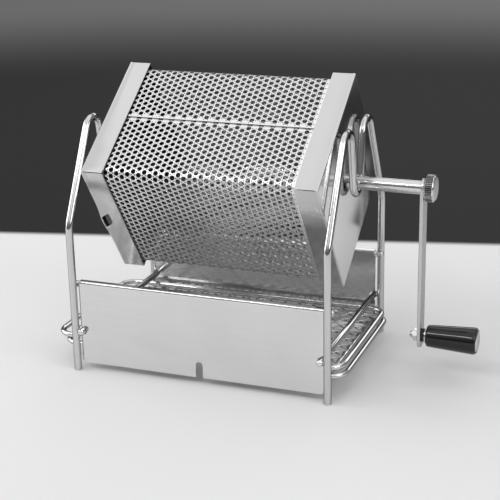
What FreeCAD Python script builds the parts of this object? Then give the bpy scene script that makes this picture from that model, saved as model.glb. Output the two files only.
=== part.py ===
import FreeCAD, Part
import math
import os

V = FreeCAD.Vector
X_AXIS = V(1, 0, 0)
Y_AXIS = V(0, 1, 0)
Z_AXIS = V(0, 0, 1)

# Hand-cranked coffee roaster: a perforated square drum turns in two bent wire side frames,
# over a sliding wire net and between two upright wind plates. Millimetres, +X along the drum
# towards the crank, +Y to the back, +Z up. The origin is on the table, under the middle of the box.

# Side frames, each one bent wire with two feet, two peaks and a saddle between them
frame_span = 160.0
leg_spread = 115.0
leg_wire = 4.5
shoulder_height = 92.0
shoulder_radius = 14.0
outer_lean = 28.6
inner_lean = 10.2
peak_radius = 9.0
saddle_radius = 6.8
foot_chamfer = 0.4

# Axle
axle_height = 116.2
axle_diameter = 8.0
axle_bore = 6.0
axle_reach = 39.0
axle_inner_end = 1.2
stub_reach = 6.0
running_clearance = 0.05
slide_clearance = 0.3

# Drum
drum_length = 144.2
drum_shift = 3.9
drum_turn = -10.45
cap_side = 89.1
cap_depth = 13.9
cap_sheet = 0.8
cap_fold = 1.0
cap_seam = 0.3
sheet_thickness = 0.6
sheet_corner = 6.0
sheet_entry = 11.9
lap_width = 6.0
lap_share = 0.515
grid_pitch = 9.6
grid_opening = 6.7

# Window and slit in the loading cap, measured along its lower front flange
window_length = 9.7
window_depth = 5.4
window_slant = 4.2
window_corner = 1.2
window_share = 0.531
slit_length = 3.7
slit_width = 0.5
slit_share = 0.619

# Cross wires between the legs
bar_wire = 3.8
bar_height = 25.2
bar_overhang = 2.6
bar_end_round = 1.2
rod_height = 54.5
rod_overhang = 0.6

# Wind plates
plate_thickness = 0.5
plate_leg_gap = 0.65
plate_foot_gap = 4.6
hem_clearance = 0.05
hem_lip = 1.4
bar_notch_height = 5.5
bar_notch_gap = 0.65
vent_width = 4.5
vent_height = 10.0

# Sliding net
rim_wire = 3.3
rim_height = 18.8
rim_gap = 1.7
rim_length = 182.6
lower_rim_length = 179.7
lower_rim_shift = 2.8
rim_depth = 99.2
rim_corner = 10.0
net_shift = -5.9
net_play = 0.05
net_strand = 1.3
cell_length = 9.8
cell_depth = 10.3
net_border = 1.2

# Crank
arm_thickness = 2.0
arm_width = 11.0
arm_length = 91.0
arm_tail = 2.0
screw_diameter = 4.0
thumb_diameter = 16.0
thumb_thickness = 6.2
thumb_edge = 1.1
thumb_stud = 9.0
plug_length = 12.0
plug_inset = 0.5

# Handle
collar_diameter = 8.0
collar_thickness = 2.0
washer_diameter = 9.0
washer_thickness = 0.8
grip_length = 30.0
grip_small = 13.2
grip_large = 16.4
grip_small_round = 1.2
grip_large_round = 2.2
grip_bore_clearance = 0.08
grip_play = 0.3
head_diameter = 13.0
head_thickness = 2.2
head_sink = 1.4
head_round = 0.7
nut_flats = 7.0
nut_thickness = 3.2
screw_tail = 2.0

# One overrun for every cut
overrun = 5.0

# Places that follow from the sizes
half_span = frame_span / 2
half_spread = leg_spread / 2
leg_radius = leg_wire / 2
axle_radius = axle_diameter / 2
bar_radius = bar_wire / 2
rim_radius = rim_wire / 2
half_cap = cap_side / 2
tube_end = half_span + axle_reach
arm_outer = tube_end + arm_thickness
collar_outer = arm_outer + collar_thickness
washer_outer = collar_outer + washer_thickness
grip_start = washer_outer + grip_play
grip_end = grip_start + grip_length
handle_reach = grip_end - head_sink + grip_play + head_thickness
handle_height = axle_height - arm_length
net_reach = rim_length / 2 - net_shift + rim_radius
shift = (net_reach - handle_reach) / 2
frame_x = {"left": shift - half_span, "right": shift + half_span}
drum_left = shift + drum_shift - drum_length / 2
drum_right = shift + drum_shift + drum_length / 2
bar_x = half_span - leg_radius - bar_radius
rod_y = half_spread - leg_radius - bar_radius
hem_inner = bar_radius + hem_clearance
hem_outer = hem_inner + plate_thickness
plate_half = half_span - leg_radius - plate_leg_gap
lower_rim_height = rim_height - rim_wire - rim_gap
net_bottom = lower_rim_height - rim_radius
rest_height = net_bottom - slide_clearance - bar_radius


def save(name, shape):
    shape.exportStep(os.path.join("parts", name + ".step"))
    solids = len(shape.Solids)
    print(name, "solids", solids, "valid", shape.isValid(), "volume", round(shape.Volume, 1))


def turned(shape):
    # Turn a shape about the drum's axle, from flat sides to its place at rest
    copy = shape.copy()
    copy.rotate(V(0, 0, axle_height), X_AXIS, drum_turn - 45)
    return copy


def rounded_path(points, radii):
    # Straight runs through the points, joined by tangent arcs of the given radii
    edges = []
    start = points[0]
    for index in range(1, len(points) - 1):
        corner = points[index]
        back = (points[index - 1] - corner).normalize()
        ahead = (points[index + 1] - corner).normalize()
        half_angle = back.getAngle(ahead) / 2
        radius = radii[index - 1]
        trim = radius / math.tan(half_angle)
        entry = corner + back * trim
        leave = corner + ahead * trim
        bisector = (back + ahead).normalize()
        middle = corner + bisector * (radius / math.sin(half_angle) - radius)
        edges.append(Part.LineSegment(start, entry).toShape())
        edges.append(Part.Arc(entry, middle, leave).toShape())
        start = leave
    edges.append(Part.LineSegment(start, points[-1]).toShape())
    return Part.Wire(edges)


def rounded_rectangle(center, length, depth, radius):
    # Closed wire in a level plane
    x = length / 2
    y = depth / 2
    corners = [center + V(-x, -y, 0), center + V(x, -y, 0), center + V(x, y, 0), center + V(-x, y, 0)]
    middle = center + V(0, -y, 0)
    return rounded_path([middle] + corners[1:] + corners[:1] + [middle], [radius] * len(corners))


def sweep(path, at, direction, diameter):
    ring = Part.Wire(Part.makeCircle(diameter / 2, at, direction))
    return path.makePipeShell([ring], True, False)


def rod_between(start, end, diameter, end_round):
    axis = end - start
    rod = Part.makeCylinder(diameter / 2, axis.Length, start, axis)
    rims = [edge for edge in rod.Edges if edge.Curve.TypeId == "Part::GeomCircle"]
    return rod.makeFillet(end_round, rims)


def edges_at_x(shape, x):
    # Edges that lie wholly in one upright plane across the drum's axis
    near = cap_seam / 2
    return [e for e in shape.Edges if abs(e.BoundBox.XMin - x) < near and abs(e.BoundBox.XMax - x) < near]


def rounded_disc(x, thickness, diameter, height, edge_round):
    disc = Part.makeCylinder(diameter / 2, thickness, V(x, 0, height), X_AXIS)
    rims = [edge for edge in disc.Edges if edge.Curve.TypeId == "Part::GeomCircle"]
    return disc.makeFillet(edge_round, rims)


# Side frame
def side_frame(x):
    outer_slope = math.tan(math.radians(outer_lean))
    inner_slope = math.tan(math.radians(inner_lean))
    saddle_bottom = axle_height - axle_radius - running_clearance - leg_radius
    saddle_apex = saddle_bottom + saddle_radius - saddle_radius / math.sin(math.radians(inner_lean))
    rise = half_spread + outer_slope * shoulder_height + inner_slope * saddle_apex
    peak_apex = rise / (outer_slope + inner_slope)
    peak_y = inner_slope * (peak_apex - saddle_apex)
    points = [
        V(x, -half_spread, 0),
        V(x, -half_spread, shoulder_height),
        V(x, -peak_y, peak_apex),
        V(x, 0, saddle_apex),
        V(x, peak_y, peak_apex),
        V(x, half_spread, shoulder_height),
        V(x, half_spread, 0),
    ]
    radii = [shoulder_radius, peak_radius, saddle_radius, peak_radius, shoulder_radius]
    wire = sweep(rounded_path(points, radii), points[0], Z_AXIS, leg_wire)
    feet = [edge for edge in wire.Edges if edge.BoundBox.ZMax < foot_chamfer]
    return wire.makeChamfer(foot_chamfer, feet)


# Cross wires
def guide_bar(side):
    x = shift + side * bar_x
    y = half_spread + bar_overhang
    return rod_between(V(x, -y, bar_height), V(x, y, bar_height), bar_wire, bar_end_round)


def rest_bar(side):
    x = shift + side * bar_x
    y = rod_y + hem_inner
    return Part.makeCylinder(bar_radius, 2 * y, V(x, -y, rest_height), Y_AXIS)


def top_rod(side):
    reach = half_span + leg_radius + rod_overhang
    y = side * rod_y
    return rod_between(V(shift - reach, y, rod_height), V(shift + reach, y, rod_height), bar_wire, bar_end_round)


# Wind plate, hooked over its rod
def wind_plate(side):
    x = shift - plate_half

    def at(distance, height):
        return V(x, side * (rod_y + distance), rod_height + height)

    foot = plate_foot_gap - rod_height
    edges = [
        Part.LineSegment(at(hem_outer, foot), at(hem_outer, 0)).toShape(),
        Part.Arc(at(hem_outer, 0), at(0, hem_outer), at(-hem_outer, 0)).toShape(),
        Part.LineSegment(at(-hem_outer, 0), at(-hem_outer, -hem_lip)).toShape(),
        Part.LineSegment(at(-hem_outer, -hem_lip), at(-hem_inner, -hem_lip)).toShape(),
        Part.LineSegment(at(-hem_inner, -hem_lip), at(-hem_inner, 0)).toShape(),
        Part.Arc(at(-hem_inner, 0), at(0, hem_inner), at(hem_inner, 0)).toShape(),
        Part.LineSegment(at(hem_inner, 0), at(hem_inner, foot)).toShape(),
        Part.LineSegment(at(hem_inner, foot), at(hem_outer, foot)).toShape(),
    ]
    plate = Part.Face(Part.Wire(edges)).extrude(V(2 * plate_half, 0, 0))
    y = side * rod_y
    span = hem_outer + overrun
    low_y = min(y, y + side * span)
    notch_radius = bar_notch_height / 2
    notch_center = bar_x - bar_radius - bar_notch_gap + notch_radius
    cuts = []
    for end in (-1, 1):
        center_x = shift + end * notch_center
        cuts.append(Part.makeCylinder(notch_radius, span, V(center_x, low_y, bar_height), Y_AXIS))
        edge_x = min(center_x, center_x + end * overrun)
        cuts.append(Part.makeBox(overrun, span, bar_notch_height, V(edge_x, low_y, bar_height - notch_radius)))
    vent_radius = vent_width / 2
    vent_top = plate_foot_gap + vent_height - vent_radius
    cuts.append(Part.makeCylinder(vent_radius, span, V(shift, low_y, vent_top), Y_AXIS))
    vent_corner = V(shift - vent_radius, low_y, plate_foot_gap - overrun)
    cuts.append(Part.makeBox(vent_width, span, vent_height - vent_radius + overrun, vent_corner))
    return plate.cut(cuts)


# Sliding net
def net_rim(length, x, height):
    center = V(x, 0, height)
    path = rounded_rectangle(center, length, rim_depth, rim_corner)
    return sweep(path, center + V(0, -rim_depth / 2, 0), X_AXIS, rim_wire)


def net_mesh():
    bottom = lower_rim_height + rim_radius + net_play
    center = V(shift + net_shift + lower_rim_shift / 2, 0, bottom)
    outline = rounded_rectangle(center, lower_rim_length, rim_depth, rim_corner)
    limit_x = lower_rim_length / 2 - rim_radius - net_border
    limit_y = rim_depth / 2 - rim_radius - net_border
    half_x = (cell_length - net_strand) / 2
    half_y = (cell_depth - net_strand) / 2
    columns = int(limit_x / cell_length * 2) + 1
    rows = int(limit_y / cell_depth * 2) + 1
    holes = []
    for column in range(-columns, columns + 1):
        for row in range(-rows, rows + 1):
            x = column * cell_length / 2
            y = row * cell_depth / 2
            inside = abs(x) + half_x < limit_x and abs(y) + half_y < limit_y
            if (column + row) % 2 or not inside:
                continue
            cell = [V(x - half_x, y, 0), V(x, y - half_y, 0), V(x + half_x, y, 0), V(x, y + half_y, 0)]
            places = [center + corner for corner in cell]
            holes.append(Part.makePolygon(places + places[:1]))
    print("net gaps", len(holes))
    face = Part.Face([outline] + holes)
    face.validate()
    return face.extrude(V(0, 0, rim_gap - 2 * net_play))


# Drum
def flat_prism(side, corner, x, length):
    # A square bar along the axle, its sides level and upright before it is turned
    half = side / 2
    points = [V(x, -half, -half), V(x, half, -half), V(x, half, half), V(x, -half, half)]
    points = [point + V(0, 0, axle_height) for point in points]
    if corner:
        middle = (points[0] + points[1]) / 2
        outline = rounded_path([middle] + points[1:] + points[:1] + [middle], [corner] * len(points))
    else:
        outline = Part.makePolygon(points + points[:1])
    return Part.Face(outline).extrude(V(length, 0, 0))


def drum_sheet():
    start = drum_left + cap_depth - sheet_entry
    length = drum_right - cap_sheet - start
    outer_side = cap_side - 2 * (cap_sheet + slide_clearance)
    inner_side = outer_side - 2 * sheet_thickness
    outer = flat_prism(outer_side, sheet_corner, start, length)
    inner = flat_prism(inner_side, sheet_corner - sheet_thickness, start - overrun, length + 2 * overrun)
    tube = outer.cut(inner)
    # The two edges of the folded sheet lap on the upper front side
    lap_y = -inner_side / 2
    lap_z = axle_height + inner_side * (lap_share - 1 / 2)
    lap = Part.makeBox(length, sheet_thickness, lap_width, V(start, lap_y, lap_z))
    sheet = tube.fuse(lap).removeSplitter()
    # A plain grid of openings through opposite walls stands for the sheet's many fine holes
    columns = int((drum_length - 2 * cap_depth) / grid_pitch)
    rows = int((outer_side - 2 * sheet_corner) / grid_pitch)
    first_x = shift + drum_shift - (columns * grid_pitch - grid_pitch + grid_opening) / 2
    first_row = -(rows * grid_pitch - grid_pitch + grid_opening) / 2
    openings = []
    for column in range(columns):
        x = first_x + column * grid_pitch
        for row in range(rows):
            along = first_row + row * grid_pitch
            front = V(x, -half_cap, axle_height + along)
            below = V(x, along, axle_height - half_cap)
            openings.append(Part.makeBox(grid_opening, cap_side, grid_opening, front))
            openings.append(Part.makeBox(grid_opening, grid_opening, cap_side, below))
    print("sheet openings", columns, "by", rows, "in each wall")
    return turned(sheet.cut(openings))


def drum_cap(face_x, inward):
    # A square pan: an end plate with four folded flanges, open along its corners
    low_x = min(face_x, face_x + inward * cap_depth)
    pan = flat_prism(cap_side, 0, low_x, cap_depth)
    pan = pan.makeFillet(cap_fold, edges_at_x(pan, face_x))
    hollow_x = min(face_x + inward * cap_sheet, face_x + inward * (cap_depth + overrun))
    hollow = flat_prism(cap_side - 2 * cap_sheet, 0, hollow_x, cap_depth + overrun - cap_sheet)
    pan = pan.cut(hollow)
    seam_x = min(face_x + inward * (cap_sheet + cap_fold), face_x + inward * (cap_depth + overrun))
    seam_length = cap_depth + overrun - cap_sheet - cap_fold
    seams = []
    for y in (-half_cap, half_cap):
        for z in (-half_cap, half_cap):
            corner = V(seam_x, y - overrun / 2, axle_height + z - cap_seam / 2)
            seam = Part.makeBox(seam_length, overrun, cap_seam, corner)
            seam.rotate(V(0, y, axle_height + z), X_AXIS, math.degrees(math.atan2(z, y)))
            seams.append(seam)
    return pan.cut(seams)


def loading_cap():
    cap = drum_cap(drum_left, 1)
    # Before it is turned, the lower front flange is the bottom one, and shares run to the back
    low_z = axle_height - half_cap - overrun
    depth = overrun + cap_sheet + slide_clearance
    outer_x = drum_left + cap_sheet
    inner_x = outer_x + window_depth
    outer_y = half_cap * (2 * window_share - 1)
    inner_y = outer_y - window_slant
    points = [
        V(outer_x, outer_y - window_length / 2, low_z),
        V(inner_x, inner_y - window_length / 2, low_z),
        V(inner_x, inner_y + window_length / 2, low_z),
        V(outer_x, outer_y + window_length / 2, low_z),
    ]
    middle = V(outer_x, outer_y, low_z)
    outline = rounded_path([middle] + points + [middle], [window_corner] * len(points))
    window = Part.Face(outline).extrude(V(0, 0, depth))
    slit_y = half_cap * (2 * slit_share - 1) - slit_length / 2
    slit = Part.makeBox(slit_width, slit_length, depth, V(outer_x, slit_y, low_z))
    return turned(cap.cut([window, slit]))


def crank_cap():
    cap = drum_cap(drum_right, -1)
    hole = Part.makeCylinder(axle_radius, cap_sheet + overrun,
                             V(drum_right - cap_sheet - overrun / 2, 0, axle_height), X_AXIS)
    return turned(cap.cut(hole))


# Axle
def axle_tube():
    start = drum_right - cap_sheet - axle_inner_end
    length = shift + tube_end - start
    center = V(start, 0, axle_height)
    tube = Part.makeCylinder(axle_radius, length, center, X_AXIS)
    return tube.cut(Part.makeCylinder(axle_bore / 2, length, center, X_AXIS))


def stub_axle():
    start = frame_x["left"] - leg_radius - stub_reach
    rod = Part.makeCylinder(axle_radius, drum_left - start, V(start, 0, axle_height), X_AXIS)
    ends = [edge for edge in rod.Edges if edge.BoundBox.XMax < start + stub_reach / 2]
    return rod.makeFillet(bar_end_round, ends)


def axle_plug():
    end = shift + tube_end - plug_inset
    plug = Part.makeCylinder(axle_bore / 2, plug_length, V(end - plug_length, 0, axle_height), X_AXIS)
    bore = screw_diameter / 2 + running_clearance
    hole = Part.makeCylinder(bore, plug_length, V(end - plug_length, 0, axle_height), X_AXIS)
    return plug.cut(hole)


# Crank
def crank_arm():
    radius = arm_width / 2
    start = shift + tube_end
    top = Part.makeCylinder(radius, arm_thickness, V(start, 0, axle_height), X_AXIS)
    low = Part.makeCylinder(radius, arm_thickness, V(start, 0, handle_height - arm_tail), X_AXIS)
    bar = Part.makeBox(arm_thickness, arm_width, arm_length + arm_tail, V(start, -radius, handle_height - arm_tail))
    arm = bar.fuse([top, low]).removeSplitter()
    thumb_hole = screw_diameter / 2 + slide_clearance / 2
    cuts = [
        Part.makeCylinder(thumb_hole, arm_thickness, V(start, 0, axle_height), X_AXIS),
        Part.makeCylinder(screw_diameter / 2, arm_thickness, V(start, 0, handle_height), X_AXIS),
    ]
    return arm.cut(cuts)


def thumbscrew():
    start = shift + arm_outer + running_clearance
    head = rounded_disc(start, thumb_thickness, thumb_diameter, axle_height, thumb_edge)
    stud_length = arm_thickness + running_clearance + thumb_stud
    stud = Part.makeCylinder(screw_diameter / 2, stud_length, V(start - stud_length, 0, axle_height), X_AXIS)
    return head.fuse(stud).removeSplitter()


# Handle
def handle_screw():
    start = shift + tube_end - nut_thickness - screw_tail
    end = shift + handle_reach
    shank = Part.makeCylinder(screw_diameter / 2, end - start - head_round, V(start, 0, handle_height), X_AXIS)
    head = rounded_disc(end - head_thickness, head_thickness, head_diameter, handle_height, head_round)
    return shank.fuse(head).removeSplitter()


def handle_nut():
    start = shift + tube_end - nut_thickness
    corner = nut_flats / 2 / math.cos(math.pi / 6)
    points = []
    for index in range(7):
        angle = math.pi / 3 * index + math.pi / 6
        points.append(V(start, corner * math.cos(angle), handle_height + corner * math.sin(angle)))
    nut = Part.Face(Part.makePolygon(points)).extrude(V(nut_thickness, 0, 0))
    return nut.cut(Part.makeCylinder(screw_diameter / 2, nut_thickness, V(start, 0, handle_height), X_AXIS))


def handle_collar():
    start = V(shift + arm_outer, 0, handle_height)
    collar = Part.makeCylinder(collar_diameter / 2, collar_thickness, start, X_AXIS)
    return collar.cut(Part.makeCylinder(screw_diameter / 2, collar_thickness, start, X_AXIS))


def handle_washer():
    start = V(shift + collar_outer, 0, handle_height)
    washer = Part.makeCylinder(washer_diameter / 2, washer_thickness, start, X_AXIS)
    return washer.cut(Part.makeCylinder(screw_diameter / 2, washer_thickness, start, X_AXIS))


def hand_grip():
    start = V(shift + grip_start, 0, handle_height)
    grip = Part.makeCone(grip_small / 2, grip_large / 2, grip_length, start, X_AXIS)
    small_rim = [e for e in grip.Edges if e.BoundBox.XMax < shift + grip_start + grip_small_round]
    grip = grip.makeFillet(grip_small_round, small_rim)
    large_rim = [e for e in grip.Edges if e.BoundBox.XMin > shift + grip_end - grip_small_round]
    grip = grip.makeFillet(grip_large_round, large_rim)
    bore = screw_diameter / 2 + grip_bore_clearance
    seat_x = V(shift + grip_end - head_sink, 0, handle_height)
    cuts = [
        Part.makeCylinder(bore, grip_length, start, X_AXIS),
        Part.makeCylinder(head_diameter / 2 + grip_play / 2, head_sink + overrun, seat_x, X_AXIS),
    ]
    return grip.cut(cuts)


os.makedirs("parts", exist_ok=True)

save("left_side_frame", side_frame(frame_x["left"]))
save("right_side_frame", side_frame(frame_x["right"]))
save("left_guide_bar", guide_bar(-1))
save("right_guide_bar", guide_bar(1))
save("left_rest_bar", rest_bar(-1))
save("right_rest_bar", rest_bar(1))
save("front_top_rod", top_rod(-1))
save("rear_top_rod", top_rod(1))
save("front_wind_plate", wind_plate(-1))
save("rear_wind_plate", wind_plate(1))
save("net_upper_rim", net_rim(rim_length, shift + net_shift, rim_height))
save("net_lower_rim", net_rim(lower_rim_length, shift + net_shift + lower_rim_shift, lower_rim_height))
save("net_mesh", net_mesh())
save("drum_sheet", drum_sheet())
save("drum_crank_cap", crank_cap())
save("drum_loading_cap", loading_cap())
save("axle_tube", axle_tube())
save("axle_stub", stub_axle())
save("axle_plug", axle_plug())
save("crank_arm", crank_arm())
save("crank_thumbscrew", thumbscrew())
save("handle_screw", handle_screw())
save("handle_nut", handle_nut())
save("handle_collar", handle_collar())
save("handle_washer", handle_washer())
save("handle_grip", hand_grip())
print("frame centre at x", round(shift, 3))
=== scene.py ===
import math
import bpy
import bmesh
from mathutils import Matrix, Vector


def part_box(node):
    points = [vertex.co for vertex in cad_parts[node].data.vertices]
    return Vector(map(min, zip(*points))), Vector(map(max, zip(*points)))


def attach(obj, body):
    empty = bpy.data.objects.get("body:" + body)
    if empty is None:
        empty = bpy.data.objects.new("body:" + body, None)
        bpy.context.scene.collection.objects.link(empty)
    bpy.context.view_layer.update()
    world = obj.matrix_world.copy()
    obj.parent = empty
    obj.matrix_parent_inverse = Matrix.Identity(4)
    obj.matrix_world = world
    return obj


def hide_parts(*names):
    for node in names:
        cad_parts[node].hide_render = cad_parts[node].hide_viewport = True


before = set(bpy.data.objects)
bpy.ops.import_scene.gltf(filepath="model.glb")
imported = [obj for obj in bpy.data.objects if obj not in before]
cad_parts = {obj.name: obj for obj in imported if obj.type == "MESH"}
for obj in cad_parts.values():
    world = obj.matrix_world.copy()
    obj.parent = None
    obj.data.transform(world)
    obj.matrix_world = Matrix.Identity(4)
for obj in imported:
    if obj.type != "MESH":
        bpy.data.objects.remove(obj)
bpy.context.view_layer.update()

mm = 0.001
xAxis = Vector((1, 0, 0))
yAxis = Vector((0, 1, 0))
zAxis = Vector((0, 0, 1))

# the middle between the side frames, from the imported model
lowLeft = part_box("left_side_frame")[0]
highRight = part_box("right_side_frame")[1]
middleX = (lowLeft[0] + highRight[0]) / 2 / mm
axleHeight = 116.2
drumTurn = math.radians(-10.45)


def at(x, y, z):
    # millimetres from the middle of the frame, on the table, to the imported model's metres
    return Vector(((x + middleX) * mm, y * mm, z * mm))


# shader nodes

class Sig:
    # a socket or number that can be used in plain sums
    def __init__(self, maker, out):
        self.maker = maker
        self.out = out

    def sum(self, op, *others, clamp=False):
        values = dict(enumerate((self,) + others))
        return self.maker.node("ShaderNodeMath", {"operation": op, "use_clamp": clamp}, values)

    def __add__(self, o): return self.sum("ADD", o)
    def __radd__(self, o): return self.sum("ADD", o)
    def __sub__(self, o): return self.sum("SUBTRACT", o)
    def __rsub__(self, o): return Sig(self.maker, o).sum("SUBTRACT", self)
    def __mul__(self, o): return self.sum("MULTIPLY", o)
    def __rmul__(self, o): return self.sum("MULTIPLY", o)

    def clip(self): return self.sum("ADD", 0.0, clamp=True)
    def high(self, o): return self.sum("MAXIMUM", o)

    def step(self, start, end):
        # 0 below start, 1 above end, smooth between
        return self.maker.node("ShaderNodeMapRange", {"interpolation_type": "SMOOTHSTEP"},
                               {"Value": self, "From Min": start, "From Max": end})


class NodeMaker:
    # adds nodes to the tree of a material or of the world
    def __init__(self, tree):
        self.tree = tree

    def node(self, kind, settings=None, sockets=None, out=0):
        made = self.tree.nodes.new(kind)
        for name, value in (settings or {}).items():
            if name == "stops":
                ramp = made.color_ramp
                while len(ramp.elements) < len(value):
                    ramp.elements.new(0.5)
                for element, (place, tone) in zip(ramp.elements, value):
                    element.position = place
                    element.color = grey(tone)
            else:
                setattr(made, name, value)
        for name, value in (sockets or {}).items():
            value = value.out if isinstance(value, Sig) else value
            if isinstance(value, bpy.types.NodeSocket):
                self.tree.links.new(value, made.inputs[name])
            else:
                made.inputs[name].default_value = value
        return Sig(self, made.outputs[out])

    def toward(self, where, way):
        # how far a place lies in one direction
        return self.node("ShaderNodeVectorMath", {"operation": "DOT_PRODUCT"}, {0: where, 1: way}, out="Value")


class Finish(NodeMaker):
    # one material and what its shader reads
    def __init__(self, name, **values):
        self.mat = bpy.data.materials.new(name)
        self.mat.use_nodes = True
        super().__init__(self.mat.node_tree)
        self.shader = self.tree.nodes["Principled BSDF"]
        self.set(**values)

    def set(self, **values):
        for name, value in values.items():
            socket = self.shader.inputs[name.replace("_", " ")]
            if isinstance(value, Sig):
                self.tree.links.new(value.out, socket)
            else:
                socket.default_value = value

    def coords(self):
        return self.node("ShaderNodeTexCoord", out="Object")

    def place(self, scale=(1, 1, 1), move=(0, 0, 0)):
        # object coordinates in millimetres, stretched and moved
        return self.node("ShaderNodeMapping", None,
                         {"Vector": self.coords(), "Scale": [s / mm for s in scale], "Location": move})

    def noise(self, where, detail, rough):
        return self.node("ShaderNodeTexNoise", None,
                         {"Vector": where, "Scale": 1.0, "Detail": detail, "Roughness": rough})

    def blend(self, factor, first, second):
        return self.node("ShaderNodeMix", {"data_type": "RGBA"}, {0: factor, 6: first, 7: second}, out=2)

    def bump(self, height, strength, distance):
        return self.node("ShaderNodeBump", None, {"Height": height, "Strength": strength, "Distance": distance})


def grey(value):
    return (value, value, value, 1)


# what the brushed finishes share: the grain across and along, its clouds, rubs and worn edges
brushing = {"across": 0.9, "along": 0.02, "cloudSize": 0.035, "rubSize": 0.3, "rubStep": (0.58, 0.75),
            "edgeStep": (0.52, 0.6), "edgeTone": 0.88, "edgeShare": 0.35, "cloudRough": 0.08, "rubRough": 0.05,
            "edgeRough": -0.03, "leastRough": 0.03, "bumpDistance": 0.00004, "edgeTint": 0.6}

# painted shade: the end of the sheet under the loading cap is painted dark, and a thin painted shadow line runs
# beside the cap's rim
paintedCapShade = {"end": -62.6, "blur": 0.2, "tone": 0.15, "line": (-54.6, -53.75), "shadowLineBlur": (0.1, 0.15),
              "shadowLineShare": 0.9, "shadowLineTone": 0.02}

# painted light: the inside of the drum's lower rear face is painted bright, as if lit
paintedWallLight = {"turn": 315, "out": 40.5, "blur": 1.0, "tone": 0.95}


def brushedSteel(name, look):
    # metal with grain along one direction, cloudy polish and lighter worn edges
    b = brushing
    f = Finish(name, Metallic=1.0, Specular_Tint=grey(look.get("edge", b["edgeTint"])))
    grainWay = [b["across"]] * 3
    grainWay[look["along"]] = b["along"]
    grain = f.noise(f.place([g * look["grain"] for g in grainWay]), 4.0, 0.65)
    cloud = f.noise(f.place([b["cloudSize"]] * 3, (3, 7, 1)), 2.0, 0.5)
    rub = f.noise(f.place([b["rubSize"]] * 3, (1, 5, 2)), 3.0, 0.6).step(*b["rubStep"])
    edge = f.node("ShaderNodeNewGeometry", out="Pointiness").step(*b["edgeStep"])
    tone = (grain - 0.5) * look["contrast"] + (cloud - 0.5) * look["cloud"]
    shade = f.blend((tone + 0.5).clip(), grey(look["dark"]), grey(look["light"]))
    shade = f.blend(edge * b["edgeShare"], shade, grey(b["edgeTone"]))
    if look.get("capShade"):
        # painted shade over the sheet's covered end, then a painted shadow line beside the cap's rim
        c = paintedCapShade
        along = f.node("ShaderNodeSeparateXYZ", None, {"Vector": f.place()}) - middleX
        shade = f.blend(along.step(c["end"] - c["blur"], c["end"] + c["blur"]), grey(c["tone"]), shade)
        starts, ends = (along.step(x - blur, x + blur) for x, blur in zip(c["line"], c["shadowLineBlur"]))
        shade = f.blend(starts * (1 - ends) * c["shadowLineShare"], shade, grey(c["shadowLineTone"]))
    if look.get("polished"):
        # painted light on the inside of the drum's lower rear face
        p = paintedWallLight
        turn = math.radians(p["turn"]) + drumTurn
        out = f.toward(f.place(move=(0, 0, -axleHeight)), (0, math.cos(turn), math.sin(turn)))
        shade = f.blend(out.step(p["out"], p["out"] + p["blur"]), shade, grey(p["tone"]))
    rough = (look["rough"] + (grain - 0.5) * look["roughSpread"] + (cloud - 0.5) * b["cloudRough"]
             + rub * b["rubRough"] + edge * b["edgeRough"])
    f.set(Base_Color=shade, Roughness=rough.high(b["leastRough"]))
    f.set(Normal=f.bump(grain, look["bump"], b["bumpDistance"]))
    return f.mat


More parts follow.
